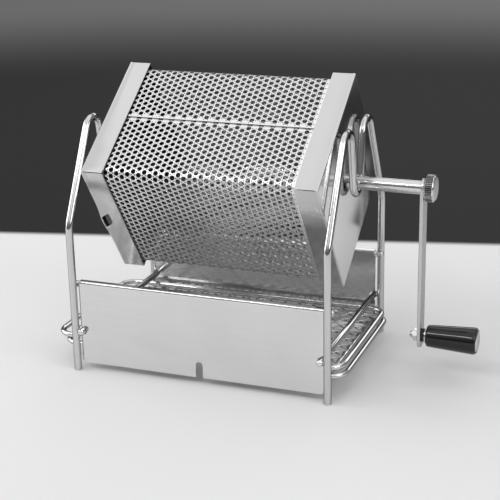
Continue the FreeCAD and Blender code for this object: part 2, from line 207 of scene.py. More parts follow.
# along: the axis of the grain; edge: how bright the metal is where it is seen flat on
steelLooks = {
    "wirePolish": {"along": 2, "grain": 1.2, "contrast": 0.4, "cloud": 0.4, "dark": 0.64, "light": 0.86,
                   "rough": 0.12, "roughSpread": 0.05, "bump": 0.015, "edge": 0.15},
    "legPolish": {"along": 2, "grain": 1.0, "contrast": 0.6, "cloud": 0.4, "dark": 0.42, "light": 0.84,
                  "rough": 0.12, "roughSpread": 0.05, "bump": 0.015, "edge": 0.1},
    "plateSatin": {"along": 0, "grain": 1.5, "contrast": 0.7, "cloud": 0.6, "dark": 0.55, "light": 0.77,
                   "rough": 0.18, "roughSpread": 0.12, "bump": 0.08},
    "capSatin": {"along": 0, "grain": 1.5, "contrast": 0.2, "cloud": 0.4, "dark": 0.48, "light": 0.63,
                 "rough": 0.2, "roughSpread": 0.06, "bump": 0.03},
    "capMirror": {"along": 1, "grain": 1.0, "contrast": 0.25, "cloud": 0.4, "dark": 0.84, "light": 0.95,
                  "rough": 0.14, "roughSpread": 0.03, "bump": 0.02},
    # painted shade: the caps' inner sides are a near-black copy of the cap steel
    "capInsideShade": {"along": 0, "grain": 1.5, "contrast": 0.3, "cloud": 0.4, "dark": 0.03, "light": 0.08,
                  "rough": 0.35, "roughSpread": 0.1, "bump": 0.05, "edge": 0.1},
    # painted shade: the net's wires are painted dark grey, standing in for the shade they lie in under the drum
    "meshWire": {"along": 0, "grain": 1.2, "contrast": 0.5, "cloud": 0.4, "dark": 0.26, "light": 0.5,
                 "rough": 0.16, "roughSpread": 0.05, "bump": 0.015, "edge": 0.05},
    "sheetSatin": {"along": 0, "grain": 1.5, "contrast": 0.5, "cloud": 0.5, "dark": 0.84, "light": 0.98,
                   "rough": 0.5, "roughSpread": 0.1, "bump": 0.06, "capShade": True},
    # painted shade: the drum sheet's inner side and its hole walls are near-black copies of its bright outer
    # steel; the inner side also carries the painted light of the lower rear face
    "sheetInsideShadeAndLight": {"along": 0, "grain": 1.5, "contrast": 0.5, "cloud": 0.5, "dark": 0.03, "light": 0.07,
                    "rough": 0.3, "roughSpread": 0.1, "bump": 0.05, "edge": 0.1, "polished": True},
    "sheetCutShade": {"along": 0, "grain": 1.5, "contrast": 0.5, "cloud": 0.5, "dark": 0.02, "light": 0.06,
                 "rough": 0.5, "roughSpread": 0.12, "bump": 0.1, "edge": 0.05},
    "turnedBright": {"along": 1, "grain": 2.0, "contrast": 0.4, "cloud": 0.4, "dark": 0.58, "light": 0.78,
                     "rough": 0.16, "roughSpread": 0.08, "bump": 0.08},
    # painted shade: the knurled band is painted dark for the shade in its grooves
    "knurlShade": {"along": 0, "grain": 2.0, "contrast": 0.5, "cloud": 0.3, "dark": 0.05, "light": 0.16,
                  "rough": 0.38, "roughSpread": 0.1, "bump": 0.1},
    "armSatin": {"along": 2, "grain": 1.6, "contrast": 0.5, "cloud": 0.4, "dark": 0.5, "light": 0.7,
                 "rough": 0.28, "roughSpread": 0.1, "bump": 0.1},
}
finishes = {name: brushedSteel(name, look) for name, look in steelLooks.items()}

spacerLook = {"dark": 0.015, "light": 0.05, "metal": 0.6, "speckSize": 1.5, "rough": 0.34, "roughSpread": 0.2,
              "bump": 0.15, "bumpDistance": 0.00005}
gripLook = {"dark": 0.003, "light": 0.012, "flowSize": (0.08, 0.25, 0.25), "rubSize": (0.15, 1.2, 1.2),
            "rubStep": (0.55, 0.8), "rough": 0.07, "flowRough": 0.05, "rubRough": 0.08, "bump": 0.06,
            "bumpDistance": 0.0001}


def nearBlackCollarFinish():
    # the collar is painted near black, much darker than the steel beside it
    s = spacerLook
    f = Finish("darkSpacer", Metallic=s["metal"])
    speck = f.noise(f.place([s["speckSize"]] * 3), 4.0, 0.6)
    f.set(Base_Color=f.blend(speck, grey(s["dark"]), grey(s["light"])))
    f.set(Roughness=s["rough"] + (speck - 0.5) * s["roughSpread"])
    f.set(Normal=f.bump(speck, s["bump"], s["bumpDistance"]))
    return f.mat


def gripFinish():
    # moulded black plastic with a faint flow and fine rubs
    g = gripLook
    f = Finish("gripGloss", IOR=1.5)
    flow = f.noise(f.place(g["flowSize"]), 3.0, 0.5)
    rub = f.noise(f.place(g["rubSize"], (2, 1, 4)), 4.0, 0.7).step(*g["rubStep"])
    f.set(Base_Color=f.blend((flow * 0.6 + rub * 0.4).clip(), grey(g["dark"]), grey(g["light"])))
    f.set(Roughness=g["rough"] + (flow - 0.5) * g["flowRough"] + rub * g["rubRough"])
    f.set(Normal=f.bump(flow + rub * 0.2, g["bump"], g["bumpDistance"]))
    return f.mat


finishes["darkSpacer"] = nearBlackCollarFinish()
finishes["gripGloss"] = gripFinish()
print("finishes made")


# mesh helpers

mergeDistance = 0.000002
bevelKind = {"offset_type": "OFFSET", "profile": 0.5, "material": -1, "clamp_overlap": True}
spinKind = {"dvec": (0, 0, 0), "space": Matrix(), "use_normal_flip": False, "use_duplicate": False}


def added(name, data):
    made = bpy.data.objects.new(name, data)
    bpy.context.scene.collection.objects.link(made)
    return made


def meshFrom(name, bm):
    mesh = bpy.data.meshes.new(name)
    bm.to_mesh(mesh)
    bm.free()
    return mesh


def marked(mesh, angle):
    # smooth faces, with sharp edges past an angle
    for face in mesh.polygons:
        face.use_smooth = True
    if angle:
        mesh.set_sharp_from_angle(angle=math.radians(angle))


def piece(name, bm, finish, body, nodes=(), smooth=35, bevel=0.0):
    # a finished piece from a bmesh, riding on its body
    bmesh.ops.remove_doubles(bm, verts=bm.verts, dist=mergeDistance)
    made = added(name, meshFrom(name, bm))
    for one in [finish] if isinstance(finish, str) else finish:
        made.data.materials.append(finishes[one])
    if bevel:
        rounding = made.modifiers.new("rounding", "BEVEL")
        rounding.width = bevel * mm
        rounding.segments = 2
        rounding.limit_method = "ANGLE"
        rounding.angle_limit = math.radians(40)
    marked(made.data, smooth)
    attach(made, body)
    if nodes:
        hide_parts(*nodes)
    return made


def settled(made, angle):
    # turns the modifiers' result into the piece's own mesh, with its sharp edges marked
    bpy.context.view_layer.update()
    mesh = bpy.data.meshes.new_from_object(made.evaluated_get(bpy.context.evaluated_depsgraph_get()))
    made.modifiers.clear()
    made.data = mesh
    marked(mesh, angle)


def moved(bm, verts, x=0.0, y=0.0, z=0.0):
    bmesh.ops.translate(bm, verts=verts, vec=Vector((x, y, z)) * mm)


def swung(bm, verts, angle, axis):
    bmesh.ops.rotate(bm, verts=verts, cent=(0, 0, 0), matrix=Matrix.Rotation(angle, 3, axis))


def sliced(bm, spot, way, near=0.000001, clear=False):
    everything = bm.verts[:] + bm.edges[:] + bm.faces[:]
    bmesh.ops.bisect_plane(bm, geom=everything, dist=near, plane_co=spot, plane_no=way, clear_outer=clear)


def walled(made, thickness, side, **settings):
    # gives a sheet its thickness, inwards or outwards
    wall = made.modifiers.new("wall", "SOLIDIFY")
    wall.thickness = thickness * mm
    wall.offset = side
    for name, value in settings.items():
        setattr(wall, name, value)


def extruded(bm, edges):
    # draws a row of edges out: its new points, the new row and the faces between
    made = bmesh.ops.extrude_edge_only(bm, edges=edges)["geom"]
    verts = [g for g in made if isinstance(g, bmesh.types.BMVert)]
    row = [g for g in made if isinstance(g, bmesh.types.BMEdge) and all(v in verts for v in g.verts)]
    return verts, row, [g for g in made if isinstance(g, bmesh.types.BMFace)]


def spunEdges(bm, edges, centre, axis, angle, steps):
    # turns a row of edges about an axis and gives the last row
    made = bmesh.ops.spin(bm, geom=edges, cent=centre, axis=axis, angle=angle, steps=steps, use_merge=False,
                          **spinKind)
    return [g for g in made["geom_last"] if isinstance(g, bmesh.types.BMEdge)]


class BentWire:
    # wire bent the way a maker bends it: straight runs and turns, one after another
    def __init__(self, bm, start, heading, diameter, sides=20):
        self.bm = bm
        made = bmesh.ops.create_circle(bm, cap_ends=False, segments=sides, radius=diameter / 2 * mm)
        turn = zAxis.rotation_difference(heading).to_matrix()
        bmesh.ops.rotate(bm, verts=made["verts"], cent=(0, 0, 0), matrix=turn)
        bmesh.ops.translate(bm, verts=made["verts"], vec=start)
        self.ring = list({e for v in made["verts"] for e in v.link_edges})
        self.spot = start.copy()
        self.heading = heading.normalized()
        self.radius = diameter / 2

    def push(self, length, size=1.0):
        verts, self.ring, _ = extruded(self.bm, self.ring)
        bmesh.ops.translate(self.bm, verts=verts, vec=self.heading * length * mm)
        self.spot = self.spot + self.heading * length * mm
        if size != 1.0:
            bmesh.ops.scale(self.bm, verts=verts, vec=(size, size, size), space=Matrix.Translation(-self.spot))

    def bend(self, radius, angle, axis, steps=8):
        centre = self.spot + axis.cross(self.heading) * math.copysign(radius * mm, angle)
        self.ring = spunEdges(self.bm, self.ring, centre, axis, angle, steps)
        turn = Matrix.Rotation(angle, 3, axis)
        self.heading = turn @ self.heading
        self.spot = centre + turn @ (self.spot - centre)

    def close(self, rounding, steps=3):
        # a rounded end, shrunk ring by ring and filled
        last = 0.0
        size = 1.0
        for index in range(1, steps + 1):
            turn = math.pi / 2 * index / steps
            reach = rounding * math.sin(turn)
            wanted = (self.radius - rounding * (1 - math.cos(turn))) / self.radius
            self.push(reach - last, wanted / size)
            last, size = reach, wanted
        self.fill()

    def fill(self):
        bmesh.ops.edgeloop_fill(self.bm, edges=self.ring)


# side frames

sideFrame = {"halfSpan": 80.0, "halfSpread": 57.5, "wire": 4.5, "shoulder": 92.0, "shoulderRadius": 14.0,
             "outerLean": 28.6, "innerLean": 10.2, "peakRadius": 9.0, "saddleRadius": 6.8, "axle": 8.0,
             "clearance": 0.05, "endRound": 0.4, "sides": 28, "fewSteps": 6, "manySteps": 14}


def makeSideFrame(name, x):
    s = sideFrame
    outer = math.tan(math.radians(s["outerLean"]))
    inner = math.tan(math.radians(s["innerLean"]))
    saddleFloor = axleHeight - s["axle"] / 2 - s["clearance"] - s["wire"] / 2
    saddleApex = saddleFloor + s["saddleRadius"] * (1 - 1 / math.sin(math.radians(s["innerLean"])))
    peakApex = (s["halfSpread"] + outer * s["shoulder"] + inner * saddleApex) / (outer + inner)
    peakY = inner * (peakApex - saddleApex)
    turns = [-s["outerLean"], -(180 - s["outerLean"] - s["innerLean"]), 180 - 2 * s["innerLean"]]
    turns = turns + [turns[1], turns[0]]
    radii = [s["shoulderRadius"], s["peakRadius"], s["saddleRadius"], s["peakRadius"], s["shoulderRadius"]]
    limbs = [math.hypot(peakApex - s["shoulder"], s["halfSpread"] - peakY),
             math.hypot(peakApex - saddleApex, peakY)]
    runs = [s["shoulder"], limbs[0], limbs[1], limbs[1], limbs[0], s["shoulder"]]
    trims = [r * math.tan(math.radians(abs(t)) / 2) for r, t in zip(radii, turns)]
    # the foot is closed downwards, and the wire starts upwards from the same ring
    bm = bmesh.new()
    start = at(x, -s["halfSpread"], s["endRound"])
    foot = BentWire(bm, start, -zAxis, s["wire"], s["sides"])
    foot.close(s["endRound"], 2)
    wire = BentWire(bm, start, zAxis, s["wire"], s["sides"])
    wire.push(runs[0] - trims[0] - s["endRound"])
    for turn, radius, run, before, after in zip(turns, radii, runs[1:], trims, trims[1:] + [s["endRound"]]):
        wire.bend(radius, math.radians(turn), xAxis, s["manySteps"] if abs(turn) > 60 else s["fewSteps"])
        wire.push(run - before - after)
    wire.close(s["endRound"], 2)
    piece(name + "Wire", bm, "legPolish", "frame", [name], smooth=50)


makeSideFrame("left_side_frame", -sideFrame["halfSpan"])
makeSideFrame("right_side_frame", sideFrame["halfSpan"])

# cross wires

# guide and rest bars: height, how far they reach to the front and rear, and the rounding of their ends
crossWires = {"wire": 3.8, "barX": 75.85, "guide": (25.2, 60.1, 1.2), "rest": (9.95, 55.3, 0.3),
              "rodY": 53.35, "rodHeight": 54.5, "rodReach": 82.85, "rodRound": 1.2}


def makeCrossWire(name, node, start, end, rounding):
    # both ends are rounded from a short way inside each end
    bm = bmesh.new()
    way = (end - start).normalized()
    inner = start + way * rounding * mm
    back = BentWire(bm, inner, -way, crossWires["wire"])
    back.close(rounding)
    ahead = BentWire(bm, inner, way, crossWires["wire"])
    ahead.push((end - start).length / mm - 2 * rounding)
    ahead.close(rounding)
    piece(name, bm, "wirePolish", "frame", [node], smooth=50)


def makeCrossWires():
    c = crossWires
    for word, x in (("left", -c["barX"]), ("right", c["barX"])):
        for kind in ("guide", "rest"):
            height, reach, rounding = c[kind]
            ends = [at(x, y, height) for y in (-reach, reach)]
            makeCrossWire(word + kind.capitalize() + "Bar", f"{word}_{kind}_bar", *ends, rounding)
    for word, y in (("front", -c["rodY"]), ("rear", c["rodY"])):
        ends = [at(x, y, c["rodHeight"]) for x in (-c["rodReach"], c["rodReach"])]
        makeCrossWire(word + "TopRod", word + "_top_rod", *ends, c["rodRound"])


makeCrossWires()
print("frame wires made")

# sliding net

net = {"rimWire": 3.3, "upperZ": 18.8, "lowerZ": 13.8, "upperLength": 182.6, "lowerLength": 179.7,
       "depth": 99.2, "corner": 10.0, "middleX": -5.9, "lowerShift": 2.8, "strand": 1.05, "strandSides": 6,
       "cellX": 9.8, "cellY": 10.3, "meshZ": 16.3, "weave": 0.42, "meshReach": 0.6, "cornerCut": 5.5,
       "leastRun": 0.3}


def makeRim(name, node, length, x, z):
    n = net
    bm = bmesh.new()
    straightX = length - 2 * n["corner"]
    straightY = n["depth"] - 2 * n["corner"]
    rim = BentWire(bm, at(x - straightX / 2, -n["depth"] / 2, z), xAxis, n["rimWire"])
    for run in (straightX, straightY, straightX, straightY):
        rim.push(run)
        rim.bend(n["corner"], math.pi / 2, zAxis)
    piece(name, bm, "wirePolish", "net", [node], smooth=50)


def makeMesh():
    # two layers of wires, laid across each other and pressed over and under in turn
    n = net
    halfX = n["lowerLength"] / 2 - n["meshReach"]
    halfY = n["depth"] / 2 - n["meshReach"]
    middle = n["middleX"] + n["lowerShift"] / 2
    slope = n["cellY"] / n["cellX"]
    lean = halfY / slope
    step = n["cellX"] / 4
    last = int((halfX + lean) / n["cellX"])
    bm = bmesh.new()
    count = 0
    for way in (1, -1):
        flat = Vector((1, way * slope, 0)).normalized()
        for index in range(-last, last + 1):
            # a wire crosses the middle line at x0 and runs up to the right, or to the left
            x0 = index * n["cellX"]
            inset = n["cornerCut"] if abs(x0) > halfX - lean else 0
            low = max(inset - halfX, x0 - lean)
            high = min(halfX - inset, x0 + lean)
            if high - low < n["cellX"] / 2:
                continue
            knots = [low]
            spot = math.ceil((low - x0) / step) * step + x0
            while spot < high - n["leastRun"]:
                if spot > low + n["leastRun"]:
                    knots.append(spot)
                spot += step
            knots.append(high)
            places = []
            for knot in knots:
                lift = n["weave"] * way * math.cos(math.tau * (knot - x0) / n["cellX"])
                places.append(at(middle + knot, way * slope * (knot - x0), n["meshZ"] + lift))
            wire = BentWire(bm, places[0], flat, n["strand"], n["strandSides"])
            wire.fill()
            for start, end in zip(places, places[1:]):
                wire.heading = (end - start).normalized()
                wire.push((end - start).length / mm)
            wire.fill()
            count += 1
    print("net wires", count)
    piece("netWeave", bm, "meshWire", "net", ["net_mesh"], smooth=70)


makeRim("netUpperRim", "net_upper_rim", net["upperLength"], net["middleX"], net["upperZ"])
makeRim("netLowerRim", "net_lower_rim", net["lowerLength"], net["middleX"] + net["lowerShift"], net["lowerZ"])
makeMesh()

# drum sheet: the flap is its outer end at the lap seam, and the tuck its inner end below

drumSheet = {"half": 43.45, "corner": 6.0, "thickness": 0.6, "start": -66.2, "end": 75.2, "columns": 33,
             "firstX": -53.72, "pitchX": 3.502, "rows": 84, "firstRow": 4.25, "lastRowFromEnd": 2.0,
             "hole": 1.5, "holeSides": 12, "blanksLeft": 4, "blanksRight": 5, "joinNear": 0.01,
             "trimNear": 0.001, "underlap": 2.6, "flapEnd": 1.0, "flapRise": 0.45,
             "flapStart": 3.4, "flapRun": 1.4, "tuckDrop": 0.35, "tuckBefore": 0.6, "tuckRun": 1.6}
sheetFlat = 2 * (drumSheet["half"] - drumSheet["corner"])
sheetQuarter = sheetFlat + drumSheet["corner"] * math.pi / 2
sheetAround = 4 * sheetQuarter
sheetPitchY = (sheetAround - drumSheet["lastRowFromEnd"] - drumSheet["firstRow"]) / (drumSheet["rows"] - 1)


def sheetPlace(x, along, lift):
    # rolls the flat sheet round the square: along runs from the upper front face over the top
    s = drumSheet
    turn, rest = divmod(along + sheetFlat / 2, sheetQuarter)
    angle = math.radians(135) + drumTurn - turn * math.pi / 2
    out = Vector((0, math.cos(angle), math.sin(angle)))
    way = Vector((0, math.sin(angle), -math.cos(angle)))
    if rest < sheetFlat:
        spot = out * (s["half"] + lift) + way * (rest - sheetFlat / 2)
    else:
        lean = (rest - sheetFlat) / s["corner"]
        centre = (out + way) * (s["half"] - s["corner"])
        spot = centre + (out * math.cos(lean) + way * math.sin(lean)) * (s["corner"] + lift)
    return at(x, spot.y, spot.z + axleHeight)


def eased(share):
    share = min(max(share, 0), 1)
    return share * share * (3 - 2 * share)


def sheetCell(holed):
    # one six-sided cell of the flat sheet, with or without its round hole
    s = drumSheet
    wide = 2 * s["pitchX"] / 3
    bm = bmesh.new()
    rim = bmesh.ops.create_circle(bm, cap_ends=not holed, segments=6, radius=wide)
    bmesh.ops.scale(bm, verts=rim["verts"], vec=(1, sheetPitchY / 2 / (wide * math.sin(math.pi / 3)), 1))
    bmesh.ops.subdivide_edges(bm, edges=bm.edges[:], cuts=1)
    if holed:
        radius = s["hole"] / math.cos(math.pi / 2 / s["holeSides"])
        bmesh.ops.create_circle(bm, cap_ends=False, segments=s["holeSides"], radius=radius)
        bmesh.ops.bridge_loops(bm, edges=bm.edges[:])
    return meshFrom("cell", bm)


def makeSheetHalf(name, rows, nodes):
    # lays out the cells row by row, trims them, and rolls them round the square
    s = drumSheet
    cells = {holed: sheetCell(holed) for holed in (True, False)}
    bm = bmesh.new()
    for row in rows:
        strip = bmesh.new()
        for column in range(-s["blanksLeft"], s["columns"] + s["blanksRight"]):
            odd = column % 2
            holed = 0 <= column < s["columns"] and 0 <= row and not (odd and row == s["rows"] - 1)
            count = len(strip.verts)
            strip.from_mesh(cells[holed])
            strip.verts.ensure_lookup_table()
            spot = (s["firstX"] + column * s["pitchX"], s["firstRow"] + (row + odd / 2) * sheetPitchY, 0)
            bmesh.ops.translate(strip, verts=strip.verts[count:], vec=spot)
        stripMesh = meshFrom("strip", strip)
        bm.from_mesh(stripMesh)
        bpy.data.meshes.remove(stripMesh)
    for old in cells.values():
        bpy.data.meshes.remove(old)
    bmesh.ops.remove_doubles(bm, verts=bm.verts, dist=s["joinNear"])
    for spot, way in (((s["start"], 0, 0), (-1, 0, 0)), ((s["end"], 0, 0), (1, 0, 0)),
                      ((0, s["flapEnd"], 0), (0, -1, 0)), ((0, sheetAround + s["underlap"], 0), (0, 1, 0))):
        sliced(bm, spot, way, s["trimNear"], clear=True)
    for v in bm.verts:
        x, along, _ = v.co
        lift = s["flapRise"] * eased((s["flapStart"] - along) / s["flapRun"])
        lift -= s["tuckDrop"] * eased((along - sheetAround + s["tuckBefore"]) / s["tuckRun"])
        v.co = sheetPlace(x, along, lift)
    # the loose cells don't all face the same way, so each is turned away from the axle
    bm.normal_update()
    inward = []
    for face in bm.faces:
        middle = face.calc_center_median()
        if face.normal.dot(middle - Vector((middle.x, 0, axleHeight * mm))) < 0:
            inward.append(face)
    bmesh.ops.reverse_faces(bm, faces=inward)
    # the inner side and the hole walls take the painted-shade copies of the sheet steel
    made = piece(name, bm, ["sheetSatin", "sheetInsideShadeAndLight", "sheetCutShade"], "drum", nodes)
    walled(made, s["thickness"], -1, material_offset=1, material_offset_rim=2)
    settled(made, 35)
    print(name, len(made.data.polygons), "faces")


middleRow = drumSheet["rows"] // 2
makeSheetHalf("drumSheetRear", range(-1, middleRow), ["drum_sheet"])
makeSheetHalf("drumSheetFront", range(middleRow, drumSheet["rows"]), ())

# wind plates

windPlate = {"thickness": 0.5, "halfWidth": 77.1, "foot": 4.6, "rodY": 53.35, "rodZ": 54.5, "hemInner": 1.95,
             "curl": 0.8, "curlSteps": 5, "lip": 1.4, "notchZ": 25.2, "notchHalf": 2.75, "notchEnd": 73.3,
             "ventHalf": 2.25, "ventTop": 14.6, "cornerRound": 2.0, "slotRound": 0.98, "near": 0.05,
             "flat": 0.9995}


def makeWindPlate(word, side):
    w = windPlate
    bm = bmesh.new()
    bmesh.ops.create_grid(bm, x_segments=1, y_segments=1, size=0.5)
    tall = w["rodZ"] - w["foot"]
    bmesh.ops.scale(bm, verts=bm.verts, vec=(2 * w["halfWidth"] * mm, tall * mm, 1))
    swung(bm, bm.verts, math.pi / 2, "X")
    bmesh.ops.translate(bm, verts=bm.verts, vec=at(0, side * (w["rodY"] + w["hemInner"]), w["foot"] + tall / 2))
    # two notches at the sides and the vent in the lower edge
    notchEnds = (w["notchZ"] - w["notchHalf"], w["notchZ"] + w["notchHalf"])
    for x in (-w["notchEnd"], -w["ventHalf"], w["ventHalf"], w["notchEnd"]):
        sliced(bm, at(x, 0, 0), xAxis)
    for z in (w["ventTop"],) + notchEnds:
        sliced(bm, at(0, 0, z), zAxis)
    gone = []
    for face in bm.faces:
        spot = face.calc_center_median() / mm
        x, z = abs(spot.x - middleX), spot.z
        inVent = x < w["ventHalf"] and z < w["ventTop"]
        if inVent or x > w["notchEnd"] and notchEnds[0] < z < notchEnds[1]:
            gone.append(face)
    bmesh.ops.delete(bm, geom=gone, context="FACES")
    bmesh.ops.dissolve_limit(bm, angle_limit=0.01, verts=bm.verts, edges=bm.edges,
                             use_dissolve_boundaries=False)
    for x, heights, size in ((w["ventHalf"], (w["ventTop"],), w["ventHalf"] * w["slotRound"]),
                             (w["notchEnd"], notchEnds, w["notchHalf"] * w["slotRound"]),
                             (w["halfWidth"], (w["foot"],), w["cornerRound"])):
        corners = [v for v in bm.verts if abs(abs(v.co.x / mm - middleX) - x) < w["near"]
                   and any(abs(v.co.z / mm - z) < w["near"] for z in heights)]
        bmesh.ops.bevel(bm, geom=corners, offset=size * mm, affect="VERTICES", segments=6, **bevelKind)
    bmesh.ops.triangulate(bm, faces=bm.faces)

    def drawn(way):
        verts, upper, _ = extruded(bm, row)
        bmesh.ops.translate(bm, verts=verts, vec=way * mm)
        return upper

    # up past the rod, over it in two tight curls, and down behind it
    rise = w["hemInner"] - w["curl"]
    row = [e for e in bm.edges if all(v.co.z / mm > w["rodZ"] - w["near"] for v in e.verts)]
    row = drawn(zAxis * rise)
    for reach, way in ((rise, yAxis * -side * 2 * rise), (-rise, zAxis * -(rise + w["lip"]))):
        centre = at(0, side * (w["rodY"] + reach), w["rodZ"] + rise)
        row = spunEdges(bm, row, centre, xAxis, side * math.pi / 2, w["curlSteps"])
        row = drawn(way)
    bmesh.ops.recalc_face_normals(bm, faces=bm.faces)
    if max(bm.faces, key=lambda f: f.calc_area()).normal.y * side < 0:
        bmesh.ops.reverse_faces(bm, faces=bm.faces)
    made = piece(word + "WindPlate", bm, "plateSatin", "frame", [word + "_wind_plate"])
    walled(made, w["thickness"], 1)
    settled(made, 40)
    for face in made.data.polygons:
        # the flat sheet stays flat beside its hem
        face.use_smooth = max(abs(face.normal.y), abs(face.normal.z)) < w["flat"]


makeWindPlate("front", -1)
makeWindPlate("rear", 1)
print("wind plates made")

# end caps of the drum, as square pans; only the left one has the finger window, the slit and the pressed bulge

drumCap = {"side": 89.1, "depth": 13.9, "sheet": 0.8, "fold": 1.0, "seam": 0.45, "leftFace": -68.2,
           "rightFace": 76.0, "windowLength": 9.7, "windowDepth": 5.4, "windowSlant": 4.2, "windowShare": 0.531,
           "windowRound": 1.9, "windowSwell": 0.75, "slitLength": 3.7, "slitWidth": 0.5, "slitShare": 0.619,
           "slitSwell": 0.5, "bulge": 1.5, "bulgeLength": 10.0, "bulgeHeight": 9.0, "bulgeDepth": 5.5,
           "cutsAcross": 6, "cutsUp": (2.5, 5, 8, 12, 18, 26), "cutsIn": (1.8, 3.0, 4.5), "cutReach": 4.0,
           "cutInside": 1.0, "near": 0.01, "mirrorFrom": 0.93}


def blockOf(bm, low, high):
    made = bmesh.ops.create_cube(bm, size=1.0)
    bmesh.ops.scale(bm, verts=made["verts"], vec=high - low)
    bmesh.ops.translate(bm, verts=made["verts"], vec=(low + high) / 2)
    return made["verts"]


def pressBulge(bm, faceX, inward, middleY):
    # the lip bulges out a little at the window
    c = drumCap
    half = c["side"] / 2
    for offset in range(-c["cutsAcross"], c["cutsAcross"] + 1):
        sliced(bm, at(0, middleY + offset * c["bulgeLength"] / 3, 0), yAxis)
    for height in c["cutsUp"]:
        sliced(bm, at(0, 0, height - half), zAxis)
    for depth in c["cutsIn"]:
        sliced(bm, at(faceX + inward * depth, 0, 0), xAxis)
    for v in bm.verts:
        y, z, depth = v.co.y / mm, v.co.z / mm, (v.co.x / mm - middleX - faceX) * inward
        if z < half - 1:
            swell = math.exp(-((y - middleY) / c["bulgeLength"]) ** 2 - ((z + half) / c["bulgeHeight"]) ** 2)
            v.co.x -= inward * c["bulge"] * swell * max(0, 1 - depth / c["bulgeDepth"]) * mm


def seamCutter(faceX, inward):
    # narrow gaps between the four folded flanges
    c = drumCap
    half = c["side"] / 2
    cutter = bmesh.new()
    ends = sorted((faceX + inward * (c["sheet"] + c["fold"]), faceX + inward * (c["depth"] + c["cutReach"])))
    for turn in range(4):
        verts = blockOf(cutter, at(ends[0], -c["cutReach"], -c["seam"] / 2),
                        at(ends[1], c["cutReach"], c["seam"] / 2))
        swung(cutter, verts, math.pi / 4, "X")
        moved(cutter, verts, y=half, z=half)
        swung(cutter, verts, turn * math.pi / 2, "X")
    return cutter


def cutWindow(cutter, faceX, inward, middleY):
    # the slanted window with round corners, and the short slit beside it
    c = drumCap
    half = c["side"] / 2
    low, high = -half - c["cutReach"], -half + c["sheet"] + c["cutInside"]
    bulge = c["bulge"] * c["windowSwell"]
    outerX = faceX + inward * (c["sheet"] - bulge)
    verts = blockOf(cutter, at(outerX, middleY - c["windowLength"] / 2, low),
                    at(outerX + c["windowDepth"] + bulge, middleY + c["windowLength"] / 2, high))
    edges = {e for v in verts for e in v.link_edges}
    posts = [e for e in edges if abs(e.verts[0].co.z - e.verts[1].co.z) > c["near"] * mm]
    rounded = bmesh.ops.bevel(cutter, geom=posts, offset=c["windowRound"] * mm, affect="EDGES", segments=4,
                              **bevelKind)
    for v in {v for f in rounded["faces"] for v in f.verts}:
        v.co.y -= (v.co.x - at(outerX, 0, 0).x) * c["windowSlant"] / c["windowDepth"]
    slitY = half * (2 * c["slitShare"] - 1)
    slitX = faceX + inward * (c["sheet"] - c["bulge"] * c["slitSwell"])
    blockOf(cutter, at(slitX, slitY - c["slitLength"] / 2, low),
            at(slitX + c["slitWidth"], slitY + c["slitLength"] / 2, high))


def makeCap(name, node, body, faceX, inward, window):
    c = drumCap
    half = c["side"] / 2
    windowY = half * (2 * c["windowShare"] - 1)
    bm = bmesh.new()
    ends = sorted((faceX, faceX + inward * c["depth"]))
    blockOf(bm, at(ends[0], -half, -half), at(ends[1], half, half))
    openX = at(faceX + inward * c["depth"], 0, 0).x
    closedX = at(faceX, 0, 0).x
    openFaces = [f for f in bm.faces if abs(f.calc_center_median().x - openX) < c["near"] * mm]
    bmesh.ops.delete(bm, geom=openFaces, context="FACES")
    rim = [e for e in bm.edges if all(abs(v.co.x - closedX) < c["near"] * mm for v in e.verts)]
    bmesh.ops.bevel(bm, geom=rim, offset=c["fold"] * mm, affect="EDGES", segments=4, **bevelKind)
    if window:
        pressBulge(bm, faceX, inward, windowY)
    bmesh.ops.recalc_face_normals(bm, faces=bm.faces)
    flat = max(bm.faces, key=lambda f: f.calc_area() if abs(f.normal.x) > 0.9 else 0)
    if flat.normal.x * inward > 0:
        bmesh.ops.reverse_faces(bm, faces=bm.faces)
    for face in bm.faces:
        face.material_index = 1 if abs(face.normal.x) > c["mirrorFrom"] else 0
    # the caps' inner side and cut edges get the painted-shade copy of the steel
    made = piece(name, bm, ["capSatin", "capMirror", "capInsideShade", "capInsideShade"], body, [node],
                 smooth=0)
    walled(made, c["sheet"], -1, material_offset=2, use_even_offset=True)
    cutter = seamCutter(faceX, inward)
    if window:
        cutWindow(cutter, faceX, inward, windowY)
    cut = made.modifiers.new("cut", "BOOLEAN")
    cut.object = added("cutter", meshFrom("cutter", cutter))
    cut.operation = "DIFFERENCE"
    cut.solver = "EXACT"
    cutterObject = cut.object
    settled(made, 28)
    bpy.data.objects.remove(cutterObject)
    toAxle = Matrix.Translation(at(0, 0, axleHeight)) @ Matrix.Rotation(drumTurn - math.pi / 4, 4, "X")
    made.data.transform(toAxle @ Matrix.Translation(-at(0, 0, 0)))


makeCap("loadingCap", "drum_loading_cap", "lid", drumCap["leftFace"], 1, True)
makeCap("crankCap", "drum_crank_cap", "drum", drumCap["rightFace"], -1, False)
print("drum caps made")

# turned pieces on the axle and the handle

axle = {"radius": 4.0, "bore": 3.0, "inner": 74.0, "reach": 119.0, "stubEnd": -88.25,
        "stubEdge": [(0.0, 3.2), (0.25, 3.65)], "stubFull": 0.8, "gap": 0.05}


def turned(name, profile, body, nodes, height=axleHeight, finish="turnedBright", bevel=0.0,
           steps=48, closed=True):
    # profile: distance along the axle and radius, spun once round
    bm = bmesh.new()
    verts = [bm.verts.new(at(x, 0, height + r)) for x, r in profile]
    edges = [bm.edges.new(pair) for pair in zip(verts, verts[1:])]
    if closed:
        edges.append(bm.edges.new((verts[-1], verts[0])))
    bmesh.ops.spin(bm, geom=edges, cent=at(0, 0, height), axis=xAxis, angle=math.tau, steps=steps,
                   use_merge=True, **spinKind)
    bmesh.ops.remove_doubles(bm, verts=bm.verts, dist=mergeDistance)
    bmesh.ops.recalc_face_normals(bm, faces=bm.faces)
    piece(name, bm, finish, body, nodes, bevel=bevel)


